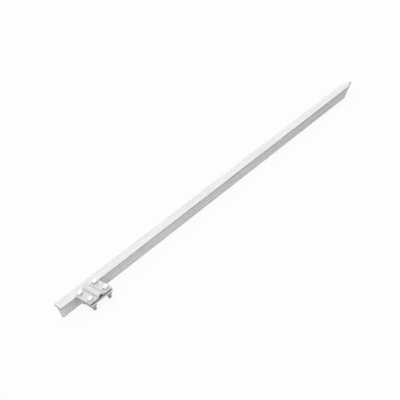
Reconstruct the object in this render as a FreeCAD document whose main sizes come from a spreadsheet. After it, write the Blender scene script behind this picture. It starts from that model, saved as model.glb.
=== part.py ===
import FreeCAD, Part
import Sketcher
import math
import os

# Ground rod: one metre of rolled T section in galvanised steel, cut square at the driving head and to a
# point at the other end, with a two-plate clamp for the earthing conductor gripping one half of its
# crossbar near the head.
#
# Frame: millimetres. The origin is on the driving head's face, where the middle planes of the crossbar
# and of the web cross. +X runs along the rod to the point and +Z is up. The clamp is on the -Y side.
# Everything is drawn with the crossbar level, and is then rolled about X until it lies as it would on a
# floor: on the foot of the web and on the ends of the two outer bolts.

SIZES = {
    "rod_length": 1000,
    "crossbar_width": 30,
    "section_depth": 30,
    "crossbar_thickness": 4,
    "web_thickness": 4,
    "root_radius": 4,
    "crossbar_toe_radius": 2,
    "web_toe_radius": 1,
    "crossbar_point_length": 30,
    "web_bevel_length": 40,
    "point_width": 3,
    "clamp_station": 67.5,
    "crossbar_grip": 4,
    "crossbar_clearance": 1,
    "plate_thickness": 3,
    "plate_corner_radius": 2,
    "channel_radius": 5,
    "channel_bend_radius": 1.5,
    "bolt_spacing_along": 40,
    "bolt_spacing_across": 40,
    "bolt_diameter": 8,
    "bolt_length": 25,
    "bolt_end_chamfer": 0.8,
    "bolt_hole_clearance": 0.5,
    "thread_clearance": 0.05,
    "across_flats": 13,
    "head_height": 5.3,
    "nut_height": 6.5,
    "hex_face_diameter": 12.3,
    "hex_chamfer_angle": 30,
    "nut_mouth_chamfer": 0.5,
}

# How far each bolt head and each nut has been turned, in degrees, in the order of bolt_places
HEAD_TURNS = (8, 41, 27, 52)
NUT_TURNS = (19, 3, 47, 33)

# Lengths worked out from the sizes, as expressions on the sheet
PLATE_SEAT = "(Sizes.crossbar_thickness / 2)"
BEARING_FACE = "(Sizes.crossbar_thickness / 2 + Sizes.plate_thickness)"
WEB_FOOT = "(Sizes.section_depth - Sizes.crossbar_thickness / 2)"
BOLT_RADIUS = "(Sizes.bolt_diameter / 2)"
PLATE_MARGIN = f"(Sizes.crossbar_grip + Sizes.crossbar_clearance + {BOLT_RADIUS})"
INNER_ROW = f"(Sizes.crossbar_width / 2 + Sizes.crossbar_clearance + {BOLT_RADIUS})"
OUTER_ROW = f"({INNER_ROW} + Sizes.bolt_spacing_across)"
CLAMP_MIDDLE = f"({INNER_ROW} + Sizes.bolt_spacing_across / 2)"
PLATE_LENGTH = f"(Sizes.bolt_spacing_along + 2 * {PLATE_MARGIN})"
PLATE_WIDTH = f"(Sizes.bolt_spacing_across + 2 * {PLATE_MARGIN})"
HEX_CORNER = "(Sizes.across_flats / sqrt(3))"

# The roll at rest, at which the rounded foot of the web and the rim of a bolt's end are equally low
FOOT_REACH = "(Sizes.web_thickness / 2 - Sizes.web_toe_radius)"
TAIL_REACH = f"({OUTER_ROW} + {BOLT_RADIUS} - Sizes.bolt_end_chamfer)"
FALL = f"({WEB_FOOT} - Sizes.web_toe_radius - Sizes.bolt_length + {BEARING_FACE})"
SPAN = f"({TAIL_REACH} - {FOOT_REACH})"
REST_ROLL = f"(atan2({FALL}; {SPAN}) + asin(Sizes.web_toe_radius / hypot({FALL}; {SPAN})))"

HEXAGON_SIDES = 6
FULL_TURN = 360
SAME_PLACE = 0.01

doc = FreeCAD.newDocument("ground_rod")
sheet = doc.addObject("Spreadsheet::Sheet", "Sizes")
for row, (alias, size) in enumerate(SIZES.items(), start=1):
    sheet.set(f"A{row}", alias)
    sheet.set(f"B{row}", str(size))
    sheet.setAlias(f"B{row}", alias)
doc.recompute()


# Sketches, whose dimensions follow expressions on the sheet


def value(expression):
    """The number that an expression stands for at the present sizes."""
    result = sheet.evalExpression(expression)
    return getattr(result, "Value", result)


def new_body(name):
    """A body with its name as its label, which names its file."""
    body = doc.addObject("PartDesign::Body", name)
    body.Label = name
    return body


def new_sketch(body, name, plane):
    """An empty sketch on one of the body's own origin planes: XY_Plane, XZ_Plane or YZ_Plane."""
    sketch = body.newObject("Sketcher::SketchObject", name)
    support = next(feature for feature in body.Origin.OriginFeatures if feature.Role == plane)
    sketch.AttachmentSupport = (support, [""])
    sketch.MapMode = "FlatFace"
    return sketch


def hold(sketch, kind, *place, size):
    """A dimension of the sketch that follows an expression."""
    index = sketch.addConstraint(Sketcher.Constraint(kind, *place, value(size)))
    sketch.setExpression(f"Constraints[{index}]", size)


def hold_point(sketch, geometry, end, x, y):
    """Keeps one point of a line, arc or circle at a distance from the sketch's origin."""
    hold(sketch, "DistanceX", -1, 1, geometry, end, size=x)
    hold(sketch, "DistanceY", -1, 1, geometry, end, size=y)


def outline(sketch, corners):
    """A closed outline of straight lines, whose corners are pairs of expressions."""
    places = [FreeCAD.Vector(value(x), value(y), 0) for x, y in corners]
    count = len(corners)
    first = sketch.GeometryCount
    for number in range(count):
        line = Part.LineSegment(places[number], places[(number + 1) % count])
        sketch.addGeometry(line, False)
    for number, (x, y) in enumerate(corners):
        following = first + (number + 1) % count
        sketch.addConstraint(Sketcher.Constraint("Coincident", first + number, 2, following, 1))
        hold_point(sketch, first + number, 1, x, y)


def rectangle(sketch, length, width, x="0", y="0"):
    """A rectangle about a middle point."""
    left, right = f"({x}) - {length} / 2", f"({x}) + {length} / 2"
    bottom, top = f"({y}) - {width} / 2", f"({y}) + {width} / 2"
    outline(sketch, [(left, bottom), (right, bottom), (right, top), (left, top)])


def circle(sketch, radius, x="0", y="0"):
    """A circle about a middle point."""
    centre = FreeCAD.Vector(value(x), value(y), 0)
    index = sketch.addGeometry(Part.Circle(centre, FreeCAD.Vector(0, 0, 1), value(radius)), False)
    hold_point(sketch, index, 3, x, y)
    hold(sketch, "Radius", index, size=radius)


def half_disc(sketch, radius, x, y):
    """The upper half of a disc about a middle point, closed by its diameter."""
    centre = FreeCAD.Vector(value(x), value(y), 0)
    reach = FreeCAD.Vector(value(radius), 0, 0)
    rim = Part.Circle(centre, FreeCAD.Vector(0, 0, 1), value(radius))
    arc = sketch.addGeometry(Part.ArcOfCircle(rim, 0, math.pi), False)
    diameter = sketch.addGeometry(Part.LineSegment(centre - reach, centre + reach), False)
    sketch.addConstraint(Sketcher.Constraint("Coincident", arc, 2, diameter, 1))
    sketch.addConstraint(Sketcher.Constraint("Coincident", diameter, 2, arc, 1))
    sketch.addConstraint(Sketcher.Constraint("PointOnObject", arc, 3, diameter))
    sketch.addConstraint(Sketcher.Constraint("Horizontal", diameter))
    hold_point(sketch, arc, 3, x, y)
    hold(sketch, "Radius", arc, size=radius)


def hexagon(sketch):
    """The hexagon of a bolt head or a nut, about the sketch's origin."""
    turns = [number * FULL_TURN / HEXAGON_SIDES for number in range(HEXAGON_SIDES)]
    outline(sketch, [(f"{HEX_CORNER} * cos({turn})", f"{HEX_CORNER} * sin({turn})") for turn in turns])


# Features


def pad(body, sketch, length, both_ways=False, downwards=False):
    """Material added on a sketch."""
    feature = body.newObject("PartDesign::Pad", f"{sketch.Name}_pad")
    feature.Profile = sketch
    feature.setExpression("Length", length)
    feature.SideType = "Symmetric" if both_ways else "One side"
    feature.Reversed = downwards
    doc.recompute()


def cut_through(body, sketch):
    """A cut right through the body, to both sides of its sketch."""
    before = body.Shape.Volume
    feature = body.newObject("PartDesign::Pocket", f"{sketch.Name}_cut")
    feature.Profile = sketch
    feature.Type = "ThroughAll"
    feature.SideType = "Symmetric"
    doc.recompute()
    require_less(body, before, feature)


def turned_cut(body, sketch):
    """A cut turned all the way round the body's upright axis."""
    before = body.Shape.Volume
    feature = body.newObject("PartDesign::Groove", f"{sketch.Name}_turned")
    feature.Profile = sketch
    feature.ReferenceAxis = (sketch, ["V_Axis"])
    feature.Angle = FULL_TURN
    doc.recompute()
    require_less(body, before, feature)


def round_edges(body, name, radius, chosen):
    """A fillet on the edges of the body that pass a test."""
    dress_edges(body, "PartDesign::Fillet", name, "Radius", radius, chosen)


def chamfer_edges(body, name, size, chosen):
    """A chamfer on the edges of the body that pass a test."""
    dress_edges(body, "PartDesign::Chamfer", name, "Size", size, chosen)


def dress_edges(body, kind, name, property_name, size, chosen):
    """A fillet or a chamfer on the body's chosen edges, with its size held to an expression."""
    tip = body.Tip
    names = [f"Edge{n}" for n, edge in enumerate(tip.Shape.Edges, start=1) if chosen(edge)]
    feature = body.newObject(kind, name)
    feature.Base = (tip, names)
    feature.setExpression(property_name, size)
    doc.recompute()


def require_less(body, before, feature):
    """Stops when a cut has taken nothing away."""
    if not body.Shape.Volume < before:
        raise RuntimeError(f"{feature.Name} cuts nothing from {body.Name}")


def at(coordinate, expression):
    """Whether a coordinate is at the place that an expression gives."""
    return abs(coordinate - value(expression)) < SAME_PLACE


def runs_along(edge, direction):
    """Whether an edge is straight and parallel to a direction."""
    if not isinstance(edge.Curve, Part.Line):
        return False
    return edge.Curve.Direction.cross(direction).Length < SAME_PLACE


ALONG = FreeCAD.Vector(1, 0, 0)
ACROSS = FreeCAD.Vector(0, 1, 0)
UPRIGHT = FreeCAD.Vector(0, 0, 1)


# Rod: the rolled section, then the cuts that make its point


def make_rod():
    body = new_body("rod")
    half_crossbar = "Sizes.crossbar_width / 2"
    half_web = "Sizes.web_thickness / 2"
    section = new_sketch(body, "t_section", "YZ_Plane")
    right_half = [
        (f"{half_crossbar}", f"{PLATE_SEAT}"),
        (f"{half_crossbar}", f"-{PLATE_SEAT}"),
        (f"{half_web}", f"-{PLATE_SEAT}"),
        (f"{half_web}", f"-{WEB_FOOT}"),
    ]
    left_half = [(f"-{y}", z) for y, z in reversed(right_half)]
    outline(section, right_half + left_half)
    pad(body, section, "Sizes.rod_length")

    def root(edge):
        middle = edge.CenterOfMass
        beside_web = at(abs(middle.y), half_web)
        return runs_along(edge, ALONG) and beside_web and at(middle.z, f"-{PLATE_SEAT}")

    def crossbar_toe(edge):
        middle = edge.CenterOfMass
        outermost = at(abs(middle.y), half_crossbar)
        return runs_along(edge, ALONG) and outermost and at(middle.z, f"-{PLATE_SEAT}")

    def web_toe(edge):
        return runs_along(edge, ALONG) and at(edge.CenterOfMass.z, f"-{WEB_FOOT}")

    round_edges(body, "root_fillets", "Sizes.root_radius", root)
    round_edges(body, "crossbar_toes", "Sizes.crossbar_toe_radius", crossbar_toe)
    round_edges(body, "web_toes", "Sizes.web_toe_radius", web_toe)

    # Both halves of the crossbar are sheared off to the point
    end = "Sizes.rod_length"
    shoulder = "Sizes.rod_length - Sizes.crossbar_point_length"
    half_point = "Sizes.point_width / 2"
    beyond = "Sizes.crossbar_width"
    crossbar_cut = new_sketch(body, "crossbar_point", "XY_Plane")
    for side in ("", "-"):
        outline(crossbar_cut, [
            (shoulder, f"{side}{half_crossbar}"),
            (end, f"{side}{half_point}"),
            (f"{end} + {half_point}", f"{side}{half_point}"),
            (f"{end} + {half_point}", f"{side}{beyond}"),
            (shoulder, f"{side}{beyond}"),
        ])
    cut_through(body, crossbar_cut)

    # The web is sheared off from its foot up to the crossbar
    heel = "Sizes.rod_length - Sizes.web_bevel_length"
    below = f"-({WEB_FOOT} + {PLATE_SEAT})"
    web_cut = new_sketch(body, "web_bevel", "XZ_Plane")
    outline(web_cut, [
        (heel, f"-{WEB_FOOT}"),
        (end, f"-{PLATE_SEAT}"),
        (f"{end} + {half_point}", f"-{PLATE_SEAT}"),
        (f"{end} + {half_point}", below),
        (heel, below),
    ])
    cut_through(body, web_cut)
    return body


# Clamp plates: squares of strip with four holes, the upper one pressed into a half-round channel


def flat_plate(name):
    """A plate drawn with its underside level with the middle of the crossbar."""
    body = new_body(name)
    blank = new_sketch(body, f"{name}_blank", "XY_Plane")
    rectangle(blank, PLATE_LENGTH, PLATE_WIDTH, "Sizes.clamp_station", f"-{CLAMP_MIDDLE}")
    pad(body, blank, "Sizes.plate_thickness")
    return body


def finish_plate(body):
    """The corners and the bolt holes, which both plates have."""
    corner_x = f"{PLATE_LENGTH} / 2"
    corner_y = f"{PLATE_WIDTH} / 2"

    def corner(edge):
        middle = edge.CenterOfMass
        at_end = at(abs(middle.x - value("Sizes.clamp_station")), corner_x)
        at_side = at(abs(middle.y + value(CLAMP_MIDDLE)), corner_y)
        return runs_along(edge, UPRIGHT) and at_end and at_side

    round_edges(body, f"{body.Name}_corners", "Sizes.plate_corner_radius", corner)
    holes = new_sketch(body, f"{body.Name}_holes", "XY_Plane")
    for x, y in bolt_places():
        circle(holes, f"{BOLT_RADIUS} + Sizes.bolt_hole_clearance", x, y)
    cut_through(body, holes)


def bolt_places():
    """The bolts' axes, as expressions: the row beside the crossbar first, from the head end."""
    for row in (INNER_ROW, OUTER_ROW):
        for side in ("-", "+"):
            yield f"Sizes.clamp_station {side} Sizes.bolt_spacing_along / 2", f"-{row}"


def make_top_plate():
    body = flat_plate("clamp_top_plate")
    outside_radius = "(Sizes.channel_radius + Sizes.plate_thickness)"
    root_outside_radius = "(Sizes.channel_bend_radius + Sizes.plate_thickness)"

    # The channel runs across the rod, so its half rounds are drawn looking along Y
    for name, radius in (("ridge", outside_radius), ("channel", "Sizes.channel_radius")):
        profile = new_sketch(body, name, "XZ_Plane")
        profile.setExpression("AttachmentOffset.Base.z", CLAMP_MIDDLE)
        half_disc(profile, radius, "Sizes.clamp_station", "0")
        if name == "ridge":
            pad(body, profile, PLATE_WIDTH, both_ways=True)
        else:
            cut_through(body, profile)

    def beside_channel(edge):
        offset = abs(edge.CenterOfMass.x - value("Sizes.clamp_station"))
        return runs_along(edge, ACROSS) and offset < value(outside_radius) + SAME_PLACE

    def ridge_root(edge):
        return beside_channel(edge) and at(edge.CenterOfMass.z, "Sizes.plate_thickness")

    def channel_root(edge):
        return beside_channel(edge) and at(edge.CenterOfMass.z, "0")

    round_edges(body, "ridge_roots", "Sizes.channel_bend_radius", ridge_root)
    round_edges(body, "channel_roots", root_outside_radius, channel_root)
    finish_plate(body)
    return body


def make_bottom_plate():
    body = flat_plate("clamp_bottom_plate")
    finish_plate(body)
    return body


# Fasteners: one bolt and one nut, drawn once and set in the four corners of the clamp


def hex_chamfer(body, name, face, outwards):
    """Turns the corners of a hexagon down to its round face, at the height of that face."""
    slope = f"({HEX_CORNER} - Sizes.hex_face_diameter / 2) * tan(Sizes.hex_chamfer_angle)"
    profile = new_sketch(body, name, "XZ_Plane")
    outline(profile, [
        ("Sizes.hex_face_diameter / 2", face),
        (HEX_CORNER, face),
        (HEX_CORNER, f"{face} {outwards} {slope}"),
    ])
    turned_cut(body, profile)


def make_bolt():
    """A hexagon bolt with its bearing face at the origin and its shank hanging down."""
    body = new_body("bolt")
    head = new_sketch(body, "bolt_head", "XY_Plane")
    hexagon(head)
    pad(body, head, "Sizes.head_height")
    hex_chamfer(body, "bolt_head_corners", "Sizes.head_height", "-")
    shank = new_sketch(body, "bolt_shank", "XY_Plane")
    circle(shank, BOLT_RADIUS)
    pad(body, shank, "Sizes.bolt_length", downwards=True)

    def shank_end(edge):
        return at(edge.BoundBox.ZMin, "-Sizes.bolt_length") and at(edge.BoundBox.ZMax, "-Sizes.bolt_length")

    chamfer_edges(body, "bolt_end", "Sizes.bolt_end_chamfer", shank_end)
    return body


def make_nut():
    """A hexagon nut hanging down from the origin, with a plain bore just clear of the thread."""
    body = new_body("nut")
    blank = new_sketch(body, "nut_blank", "XY_Plane")
    hexagon(blank)
    pad(body, blank, "Sizes.nut_height", downwards=True)
    hex_chamfer(body, "nut_upper_corners", "0", "-")
    hex_chamfer(body, "nut_lower_corners", "-Sizes.nut_height", "+")
    bore = new_sketch(body, "nut_bore", "XY_Plane")
    circle(bore, f"{BOLT_RADIUS} + Sizes.thread_clearance")
    cut_through(body, bore)

    def mouth(edge):
        middle = edge.BoundBox.Center
        on_axis = math.hypot(middle.x, middle.y) < SAME_PLACE
        small = edge.BoundBox.XLength < value("Sizes.bolt_diameter") + value("Sizes.bolt_hole_clearance")
        return on_axis and small and edge.BoundBox.ZLength < SAME_PLACE

    chamfer_edges(body, "nut_mouths", "Sizes.nut_mouth_chamfer", mouth)
    return body


def set_in_corners(name, pattern, height, turns):
    """The same fastener at each of the clamp's bolt holes, as one group of separate solids."""
    copies = []
    for number, ((x, y), turn) in enumerate(zip(bolt_places(), turns), start=1):
        copy = doc.addObject("App::Link", f"{pattern.Name}_{number}")
        copy.LinkedObject = pattern
        place = f"vector({x}; {y}; {height})"
        copy.setExpression("Placement", f"placement({place}; rotation(vector(0; 0; 1); {turn}))")
        copies.append(copy)
    group = doc.addObject("Part::Compound", name)
    group.Label = name
    group.Links = copies
    return group


# Assembly


def lay_down(part, height="0"):
    """Sets a sub-part at its height above the crossbar's middle and rolls it to its rest."""
    roll = f"rotation(vector(1; 0; 0); {REST_ROLL})"
    lifted = f"placement(vector(0; 0; {height}); rotation(vector(1; 0; 0); 0))"
    part.setExpression("Placement", f"placement(vector(0; 0; 0); {roll}) * {lifted}")


rod = make_rod()
top_plate = make_top_plate()
bottom_plate = make_bottom_plate()
bolts = set_in_corners("clamp_bolts", make_bolt(), BEARING_FACE, HEAD_TURNS)
nuts = set_in_corners("clamp_nuts", make_nut(), f"-{BEARING_FACE}", NUT_TURNS)

lay_down(rod)
lay_down(top_plate, PLATE_SEAT)
lay_down(bottom_plate, f"-{BEARING_FACE}")
lay_down(bolts)
lay_down(nuts)
doc.recompute()


# Files


sub_parts = (rod, top_plate, bottom_plate, bolts, nuts)
for item in doc.Objects:
    if {"Invalid", "Error"} & set(item.State):
        raise RuntimeError(f"{item.Name} has failed: {item.State}")
for part in sub_parts:
    if part.Shape.isNull() or not part.Shape.isValid():
        raise RuntimeError(f"{part.Label} has no valid shape")

os.makedirs("parts", exist_ok=True)
for part in sub_parts:
    part.Shape.exportStep(f"parts/{part.Label}.step")
    print(part.Label, len(part.Shape.Solids), "solids", round(part.Shape.Volume), "mm3")
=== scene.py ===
import math

import bmesh
import bpy
from mathutils import Matrix, Vector


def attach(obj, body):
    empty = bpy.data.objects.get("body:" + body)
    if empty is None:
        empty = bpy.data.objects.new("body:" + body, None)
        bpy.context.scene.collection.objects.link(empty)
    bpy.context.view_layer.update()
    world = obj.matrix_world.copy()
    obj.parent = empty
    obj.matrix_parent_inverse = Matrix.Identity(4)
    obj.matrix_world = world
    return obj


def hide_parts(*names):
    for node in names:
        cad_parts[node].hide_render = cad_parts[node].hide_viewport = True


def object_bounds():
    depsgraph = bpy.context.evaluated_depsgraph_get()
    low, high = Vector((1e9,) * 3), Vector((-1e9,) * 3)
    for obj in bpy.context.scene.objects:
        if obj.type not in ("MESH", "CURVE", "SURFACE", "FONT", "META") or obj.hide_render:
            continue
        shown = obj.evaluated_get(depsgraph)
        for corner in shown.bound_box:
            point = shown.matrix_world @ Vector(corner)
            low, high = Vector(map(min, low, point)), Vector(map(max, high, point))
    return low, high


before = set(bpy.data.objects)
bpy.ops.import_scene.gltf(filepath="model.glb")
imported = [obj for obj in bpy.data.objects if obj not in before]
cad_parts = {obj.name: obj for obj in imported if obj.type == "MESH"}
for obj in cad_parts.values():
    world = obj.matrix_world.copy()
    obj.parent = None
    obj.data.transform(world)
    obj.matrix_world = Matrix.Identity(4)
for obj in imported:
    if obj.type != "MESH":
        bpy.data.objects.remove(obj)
cad_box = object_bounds()


# View
# The rod is seen from a little above, from the clamp's side and from nearer its driving head, through
# a lens of about 62 mm. It runs from the lower left of the picture to the upper right.

camera = bpy.data.objects.new("camera", bpy.data.cameras.new("camera"))
camera.data.sensor_width = 36
camera.data.lens = 62.04
camera.location = (-0.3455, -1.2607, 0.6070)
camera.rotation_euler = [math.radians(turn) for turn in (65.394, 22.679, -40.987)]
bpy.context.collection.objects.link(camera)
bpy.context.scene.camera = camera


# Rod
# A hot-rolled T section of mild steel, sheared to a point and then dipped in molten zinc. The coating
# has soft crystals, pale clouds of first weathering, and low runs of zinc along the length, and it
# rounds every edge a little.

MILLIMETRE = 0.001
ROD_LENGTH = 1000
HALF_WIDTH = 15
WEB_FOOT = -28
REST_ROLL = math.radians(7.3365)
LENGTHWISE = (1, 0, 0)
ACROSS = (0, math.cos(REST_ROLL), math.sin(REST_ROLL))
UPWARDS = (0, -math.sin(REST_ROLL), math.cos(REST_ROLL))

CLOUD_SIZE = 25
GRAIN_SIZE = 0.4
RUN_STRETCH = (0.012, 0.17, 0.17)
PALE_BY_CRYSTAL = 0.35
PALE_BY_CLOUD = 0.3
PALE_BY_RUN = 0.35
ROUGH_BY_CRYSTAL = 0.14
ROUGH_BY_CLOUD = 0.3
RELIEF_STRENGTH = 0.6
# Under full painted shade the colour falls to this share of its grey.
DARKEST_PAINTED_SHADE = 0.45

# Shares of painted shade on the rod's rolled edges and web foot, on its upright faces, and more of it
# towards the point.
PAINTED_SHADE_ON_EDGES = 0.6
PAINTED_SHADE_ON_WEB = 0.07
PAINTED_SHADE_TO_POINT = 0.28


def grey(level):
    return (level, level, level, 1)


class Wire:
    """An output of a shader node, on which Python's arithmetic adds Math and Vector Math nodes."""

    def __init__(self, socket):
        self.socket = socket
        self.tree = socket.id_data

    def node(self, kind, settings=(), feeds=(), output=0):
        """Adds any other node: its settings first, then the values or wires of its sockets."""
        node = self.tree.nodes.new(kind)
        for name, setting in dict(settings).items():
            setattr(node, name, setting)
        for name, feed in dict(feeds).items():
            self.feed(next(socket for socket in node.inputs if socket.identifier == name), feed)
        return Wire(node.outputs[output])

    def feed(self, socket, feed):
        if isinstance(feed, Wire):
            self.tree.links.new(feed.socket, socket)
        else:
            socket.default_value = feed

    def between(self, low, high):
        """Runs from a low colour to a high one as this wire goes from 0 to 1."""
        feeds = {"Factor_Float": self, "A_Color": low, "B_Color": high}
        return self.node("ShaderNodeMix", {"data_type": "RGBA"}, feeds, output=2)

    def rise(self, start, end):
        """Goes from 0 to 1 while this wire goes from the start to the end, and stays there."""
        feeds = {"Value": self, "From Min": start, "From Max": end}
        return self.node("ShaderNodeMapRange", feeds=feeds)

    def size(self):
        """How far this wire is from nothing, to either side."""
        return self.node("ShaderNodeMath", {"operation": "ABSOLUTE"}, {"Value": self})

    def noise(self, scale, detail):
        """Soft noise from 0 to 1 over this vector, with more fine noise on it at a higher detail."""
        feeds = {"Vector": self, "Scale": scale, "Detail": detail}
        return self.node("ShaderNodeTexNoise", feeds=feeds)

    def along(self, direction):
        """The share of this vector that lies along a direction."""
        feeds = {"Vector": self, "Vector_001": direction}
        return self.node("ShaderNodeVectorMath", {"operation": "DOT_PRODUCT"}, feeds, output=1)

    def highest(self, other):
        return self.combine("MAXIMUM", self, other)

    def combine(self, operation, first, second):
        """Adds a Vector Math node where this wire is a vector or a colour, and else a Math node."""
        if self.socket.type in ("VECTOR", "RGBA"):
            first, second = (
                side if isinstance(side, (Wire, tuple)) else (side, side, side)
                for side in (first, second))
            feeds = {"Vector": first, "Vector_001": second}
            return self.node("ShaderNodeVectorMath", {"operation": operation}, feeds)
        feeds = {"Value": first, "Value_001": second}
        return self.node("ShaderNodeMath", {"operation": operation}, feeds)

    def __add__(self, other):
        return self.combine("ADD", self, other)

    def __radd__(self, other):
        return self.combine("ADD", other, self)

    def __sub__(self, other):
        return self.combine("SUBTRACT", self, other)

    def __rsub__(self, other):
        return self.combine("SUBTRACT", other, self)

    def __mul__(self, other):
        return self.combine("MULTIPLY", self, other)

    def __rmul__(self, other):
        return self.combine("MULTIPLY", other, self)


def rod_painted_shade(place, facing):
    """Painted shade on the rod: 1 on the faces sheared at its ends, less on its rolled edges and the
    foot of the web, least on its upright faces, more towards the point.
    """
    upright = facing.along(ACROSS).size().rise(0.3, 0.8)
    edge = place.along(ACROSS).size().rise(HALF_WIDTH - 4, HALF_WIDTH - 1) * upright
    foot = 1 - place.along(UPWARDS).rise(WEB_FOOT + 0.6, WEB_FOOT + 2)
    web = (place.along(LENGTHWISE).rise(0, ROD_LENGTH) * PAINTED_SHADE_TO_POINT + PAINTED_SHADE_ON_WEB) * upright
    end = facing.along(LENGTHWISE).size().rise(0.2, 0.35)
    return end.highest((edge + foot) * PAINTED_SHADE_ON_EDGES + web)


def zinc(name, dark, light, crystal, relief, roughness, metallic, runs, painted_shade):
    """A coat of zinc between two greys, with crystals of a size, pale clouds, and runs along the rod.

    The crystals' size, the relief and the height of the runs are in millimetres. The last argument
    takes a place in millimetres and the way that the surface faces there, and says how much shade is
    painted into the colour there.
    """
    finish = bpy.data.materials.new(name)
    finish.use_nodes = True
    surface = finish.node_tree.nodes["Principled BSDF"]
    surface.inputs["Metallic"].default_value = metallic
    coordinates = finish.node_tree.nodes.new("ShaderNodeTexCoord")
    place = Wire(coordinates.outputs["Object"]) * (1 / MILLIMETRE)

    wander = place.node(
        "ShaderNodeTexNoise", feeds={"Vector": place, "Scale": 0.5 / crystal}, output=1)
    bent = place + (wander - 0.5) * crystal
    facet = bent.node(
        "ShaderNodeTexVoronoi", feeds={"Vector": bent, "Scale": 1 / crystal}, output=1)
    tone = facet.node("ShaderNodeSeparateColor", feeds={"Color": facet})
    shine = facet.node("ShaderNodeSeparateColor", feeds={"Color": facet}, output=1)
    cloud = place.noise(1 / CLOUD_SIZE, detail=5)
    grain = place.noise(1 / GRAIN_SIZE, detail=3)
    run = (place * RUN_STRETCH).noise(1, detail=2)

    level = tone * PALE_BY_CRYSTAL
    level += cloud.rise(0.35, 0.68) * PALE_BY_CLOUD
    level += run.rise(0.36, 0.64) * PALE_BY_RUN
    unshaded_colour = level.between(grey(dark), grey(light))
    # Painted shade: the colour is mixed towards a darker copy of itself.
    painted_darkness = painted_shade(place, Wire(coordinates.outputs["Normal"])) * (0.5 + cloud)
    colour = painted_darkness.between(unshaded_colour, unshaded_colour * DARKEST_PAINTED_SHADE)
    height = run * runs + (grain + tone) * relief
    bump = height.node("ShaderNodeBump", feeds={
        "Height": height,
        "Distance": MILLIMETRE,
        "Strength": RELIEF_STRENGTH,
    })
    uneven = (shine - 0.5) * ROUGH_BY_CRYSTAL + (cloud - 0.5) * ROUGH_BY_CLOUD
    place.feed(surface.inputs["Base Color"], colour)
    place.feed(surface.inputs["Roughness"], uneven + roughness)
    place.feed(surface.inputs["Normal"], bump)
    return finish


def carry(node, finish, edge_radius):
    """Keeps a CAD solid, with its finish and with its sharp edges rounded by a radius."""
    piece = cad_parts[node]
    for slot in piece.material_slots:
        slot.material = finish
    weld = piece.modifiers.new("one skin", "WELD")
    weld.merge_threshold = 0.005 * MILLIMETRE
    bevel = piece.modifiers.new("rounded edges", "BEVEL")
    bevel.width = edge_radius
    bevel.segments = 2
    bevel.limit_method = "ANGLE"
    bevel.angle_limit = math.radians(35)
    bevel.harden_normals = True


section_zinc = zinc(
    "galvanised_section",
    dark=0.665,
    light=0.83,
    crystal=5.0,
    relief=0.012,
    roughness=0.65,
    metallic=0.15,
    runs=0.12,
    painted_shade=rod_painted_shade,
)
carry("rod", section_zinc, edge_radius=0.35 * MILLIMETRE)


# Clamp plates
# Two squares of steel strip, punched with four holes. The upper one is pressed over a round bar to
# form the conductor's channel, and both are galvanised after pressing.

PLATE_THICKNESS = 3
HALF_PLATE = 29
HALF_GAP = 2
BEND_OFFSET = 7.9
BEND_WIDTH = 2.2
CLAMP_STATION = 67.5
CLAMP_OFFSET = -40

# Shares of painted shade inside the channel, in its bends, between the plates and on their two sides
# along the rod.
PAINTED_SHADE_IN_CHANNEL = 0.9
PAINTED_SHADE_IN_BENDS = 0.55
PAINTED_SHADE_IN_GAP = 0.35
PAINTED_SHADE_ON_SIDES = 0.23


def plate_painted_shade(place, facing):
    """Painted shade on the plates: high inside the channel, lower in its bends, between the plates and
    on two of their sides.
    """
    from_middle = (place.along(LENGTHWISE) - CLAMP_STATION).size()
    height = place.along(UPWARDS)
    beyond_gap = (HALF_GAP + 0.1, HALF_GAP + 0.4)
    bend = (1 - (from_middle - BEND_OFFSET).size().rise(0, BEND_WIDTH)) * height.rise(0, 1)
    side = from_middle.rise(HALF_PLATE - 0.5, HALF_PLATE - 0.1)
    channel = (0 - facing.along(UPWARDS)).rise(0, 0.5) * height.rise(*beyond_gap)
    gap = 1 - height.size().rise(*beyond_gap)
    return (bend * PAINTED_SHADE_IN_BENDS + side * PAINTED_SHADE_ON_SIDES).highest(channel * PAINTED_SHADE_IN_CHANNEL + gap * PAINTED_SHADE_IN_GAP)


plate_zinc = zinc(
    "galvanised_plate",
    dark=0.60,
    light=0.76,
    crystal=3.5,
    relief=0.012,
    roughness=0.6,
    metallic=0.2,
    runs=0.05,
    painted_shade=plate_painted_shade,
)
carry("clamp_top_plate", plate_zinc, edge_radius=0.3 * MILLIMETRE)
carry("clamp_bottom_plate", plate_zinc, edge_radius=0.3 * MILLIMETRE)


# Bolts
# Four M8 x 25 hexagon bolts, cold-headed, with threads rolled all the way up to the head and a thin
# round bearing face under it. They are zinc-plated, smoother and brighter than the plates.

HALF_SPACING = 20
BEARING_FACE = HALF_GAP + PLATE_THICKNESS
NUT_HEIGHT = 6.5
HEAD_TURNS = (8, 41, 27, 52)
# Share of painted shade on the bolts below their heads, doubled on the nuts.
PAINTED_SHADE_BELOW_HEADS = 0.38

ACROSS_FLATS = 13
HEAD_HEIGHT = 5.3
HEAD_FACE_RADIUS = 6.15
WASHER_RADIUS = 5.8
WASHER_HEIGHT = 0.3
CORNER_RADIUS = 7.38
CHAMFER_SLOPE = math.tan(math.radians(30))
LOWER_ROUND = ((0.2, 0.0), (0.06, 0.06), (0.0, 0.2))
UPPER_ROUND = ((0.0, 0.12), (0.08, 0.03))
FACE_ROUND = ((HEAD_FACE_RADIUS, 0.05), (HEAD_FACE_RADIUS - 0.2, 0.0), (4.0, 0.0))
HEAD_STEPS = 96

THREAD_RADIUS = 3.97
THREAD_ROOT = 3.24
THREAD_PITCH = 1.25
THREAD_PROFILE = (
    (0.0, THREAD_RADIUS), (0.125, THREAD_RADIUS), (0.44, THREAD_ROOT), (0.69, THREAD_ROOT))
THREAD_STEPS = 40
BOLT_LENGTH = 25
SHANK_LENGTH = BOLT_LENGTH + 0.8
END_RADIUS = 3.2


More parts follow.
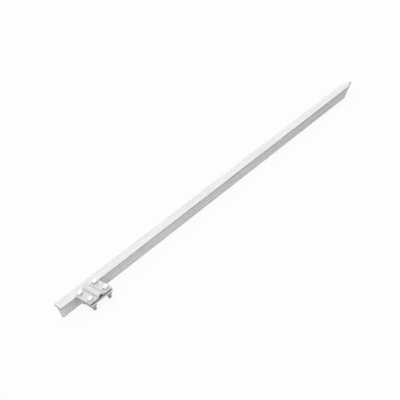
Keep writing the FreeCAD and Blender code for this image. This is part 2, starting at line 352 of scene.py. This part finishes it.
def around(radius, turn, z):
    return Vector((radius * math.cos(turn), radius * math.sin(turn), z))


def close_ring(mesh, ring, centre):
    """Fills a ring of vertices with triangles to a point at its middle."""
    middle = mesh.verts.new(centre)
    for first, second in zip(ring, ring[1:] + ring[:1]):
        mesh.faces.new((first, second, middle))


def join_rings(mesh, rings):
    for lower, upper in zip(rings, rings[1:]):
        for number in range(len(lower)):
            following = (number + 1) % len(lower)
            mesh.faces.new((lower[number], lower[following], upper[following], upper[number]))


def hexagon_radius(turn):
    """How far the side of the hexagon is from its middle, with its corners slightly rounded off."""
    from_flat = math.radians(math.degrees(turn) % 60 - 30)
    return min(ACROSS_FLATS / 2 / math.cos(from_flat), CORNER_RADIUS)


def add_head(mesh):
    """The bolt head: its round bearing face, its six sides, its turned chamfer and its upper face."""
    turns = [2 * math.pi * step / HEAD_STEPS for step in range(HEAD_STEPS)]
    sides = [hexagon_radius(turn) for turn in turns]
    chamfer = [HEAD_HEIGHT - (side - HEAD_FACE_RADIUS) * CHAMFER_SLOPE for side in sides]
    outlines = [[(WASHER_RADIUS, z)] * HEAD_STEPS for z in (0, WASHER_HEIGHT)]
    for inset, rise in LOWER_ROUND:
        outlines.append([(side - inset, WASHER_HEIGHT + rise) for side in sides])
    for inset, drop in UPPER_ROUND:
        outlines.append([(side - inset, z - drop) for side, z in zip(sides, chamfer)])
    outlines += [[(radius, HEAD_HEIGHT - drop)] * HEAD_STEPS for radius, drop in FACE_ROUND]
    rings = [
        [mesh.verts.new(around(radius, turn, z)) for turn, (radius, z) in zip(turns, outline)]
        for outline in outlines]
    join_rings(mesh, rings)
    close_ring(mesh, rings[0][::-1], (0, 0, 0))
    close_ring(mesh, rings[-1], (0, 0, HEAD_HEIGHT))


def add_thread(mesh):
    """The threaded shank: one profile wound along a helix, chamfered at both ends, the upper end of
    which is inside the head."""
    turns = math.ceil(SHANK_LENGTH / THREAD_PITCH) + 1
    columns = []
    for step in range(THREAD_STEPS + 1):
        share = step / THREAD_STEPS
        angle = 2 * math.pi * share
        column = []
        for turn in range(-1, turns):
            for phase, radius in THREAD_PROFILE:
                z = min(max((turn + phase + share) * THREAD_PITCH, 0), SHANK_LENGTH)
                chamfered = min(radius, END_RADIUS + min(z, SHANK_LENGTH - z))
                column.append(mesh.verts.new(around(chamfered, angle, z - BOLT_LENGTH)))
        columns.append(column)
    for first, second in zip(columns, columns[1:]):
        for low in range(len(first) - 1):
            mesh.faces.new((first[low], second[low], second[low + 1], first[low + 1]))
    for end, z in ((0, 0), (-1, SHANK_LENGTH)):
        close_ring(mesh, [column[end] for column in columns[:-1]], (0, 0, z - BOLT_LENGTH))


def make_bolts(places, turns):
    """One mesh of all the bolts, each turned and set down on the upper plate."""
    mesh = bmesh.new()
    roll = Matrix.Rotation(REST_ROLL, 4, "X")
    sharp = math.radians(38)
    for (x, y), turn in zip(places, turns):
        bolt = bmesh.new()
        add_head(bolt)
        add_thread(bolt)
        bmesh.ops.remove_doubles(bolt, verts=bolt.verts, dist=0.001)
        bmesh.ops.recalc_face_normals(bolt, faces=bolt.faces)
        set_down = Matrix.Translation((x, y, BEARING_FACE))
        turned = Matrix.Rotation(math.radians(turn), 4, "Z")
        bolt.transform(Matrix.Scale(MILLIMETRE, 4) @ roll @ set_down @ turned)
        copy = bpy.data.meshes.new("bolt")
        bolt.to_mesh(copy)
        mesh.from_mesh(copy)
        bpy.data.meshes.remove(copy)
        bolt.free()
    for face in mesh.faces:
        face.smooth = True
    for edge in mesh.edges:
        edge.smooth = edge.calc_face_angle(0) < sharp
    piece = bpy.data.objects.new("bolts", bpy.data.meshes.new("bolts"))
    mesh.to_mesh(piece.data)
    mesh.free()
    bpy.context.collection.objects.link(piece)
    return piece


def fastener_painted_shade(place, _facing):
    """Painted shade below the bolt heads: nothing on the heads, and twice as high on the nuts as on
    the bolt ends below them.
    """
    height = place.along(UPWARDS)
    below_head = 1 - height.rise(BEARING_FACE - 0.6, BEARING_FACE - 0.1)
    nut_face = -BEARING_FACE - NUT_HEIGHT
    return below_head * (1 + height.rise(nut_face - 0.2, nut_face)) * PAINTED_SHADE_BELOW_HEADS


fastener_zinc = zinc(
    "plated_fastener",
    dark=0.60,
    light=0.71,
    crystal=1.0,
    relief=0.003,
    roughness=0.32,
    metallic=0.85,
    runs=0.01,
    painted_shade=fastener_painted_shade,
)
bolt_places = [
    (CLAMP_STATION + side, CLAMP_OFFSET + row)
    for row in (HALF_SPACING, -HALF_SPACING) for side in (-HALF_SPACING, HALF_SPACING)]
bolts = make_bolts(bolt_places, HEAD_TURNS)
bolts.data.materials.append(fastener_zinc)
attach(bolts, "root")
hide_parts("clamp_bolts")


# Nuts
# Four M8 hexagon nuts below the lower plate, chamfered on both faces. They are plated like the bolts,
# and each stands as it came when the clamp was tightened.

# The nuts take the bolts' finish with its painted shade.
carry("clamp_nuts", fastener_zinc, edge_radius=0.15 * MILLIMETRE)


# Floor and light
# A plain white studio sheet, level under the foot of the web and the ends of the two outer bolts. Soft
# light comes from above and low from the front, and a little from behind, which brightens the tops of
# the bolt heads.

HALF_FLOOR = 30
CLEARANCE = 0.02 * MILLIMETRE
PAPER_GLOW = 0.9

floor_mesh = bmesh.new()
bmesh.ops.create_grid(floor_mesh, x_segments=1, y_segments=1, size=HALF_FLOOR)
floor = bpy.data.objects.new("floor", bpy.data.meshes.new("floor"))
floor_mesh.to_mesh(floor.data)
floor_mesh.free()
floor.location.z = cad_box[0][2] - CLEARANCE
bpy.context.collection.objects.link(floor)


def straight_ray(tree):
    """1 on the rays that show a background: from the camera, off a glossy surface or through glass."""
    rays = tree.nodes.new("ShaderNodeLightPath")
    share = Wire(rays.outputs["Is Camera Ray"])
    for name in ("Is Glossy Ray", "Is Transmission Ray"):
        share = share.highest(Wire(rays.outputs[name]))
    return share


paper = bpy.data.materials.new("white_paper")
paper.use_nodes = True
paper_surface = paper.node_tree.nodes["Principled BSDF"]
paper_output = paper.node_tree.nodes["Material Output"]
paper_surface.inputs["Base Color"].default_value = grey(0.75)
paper_surface.inputs["Roughness"].default_value = 0.9
paper_seen = straight_ray(paper.node_tree)
paper_glow = paper_seen.node("ShaderNodeEmission", feeds={"Color": grey(1), "Strength": 1.0})
paper_mix = paper_seen.node("ShaderNodeMixShader", feeds={
    "Fac": paper_seen * PAPER_GLOW,
    "Shader": Wire(paper_surface.outputs["BSDF"]),
    "Shader_001": paper_glow,
})
paper_seen.feed(paper_output.inputs["Surface"], paper_mix)
floor.data.materials.append(paper)


def soft_sun(name, direction, width, strength):
    """A lamp so large and far that its light falls evenly, from a direction and over a width."""
    lamp = bpy.data.objects.new(name, bpy.data.lights.new(name, "SUN"))
    lamp.data.angle = math.radians(width)
    lamp.data.energy = strength
    lamp.rotation_euler = Vector(direction).to_track_quat("-Z", "Y").to_euler()
    bpy.context.collection.objects.link(lamp)


soft_sun("overhead", direction=(0.25, 0.4, -1.0), width=45, strength=1.0)
soft_sun("behind", direction=(-0.475, -0.667, -0.572), width=30, strength=0.25)
soft_sun("front", direction=(0.5, 0.9, -0.3), width=60, strength=0.43)

world = bpy.data.worlds.new("studio")
bpy.context.scene.world = world
world.use_nodes = True
background = world.node_tree.nodes["Background"]
background_seen = straight_ray(world.node_tree)
surround = background_seen.between(grey(0.7), grey(1))
background_seen.feed(background.inputs["Color"], surround)
background.inputs["Strength"].default_value = 1

bpy.context.scene.view_settings.view_transform = "Standard"
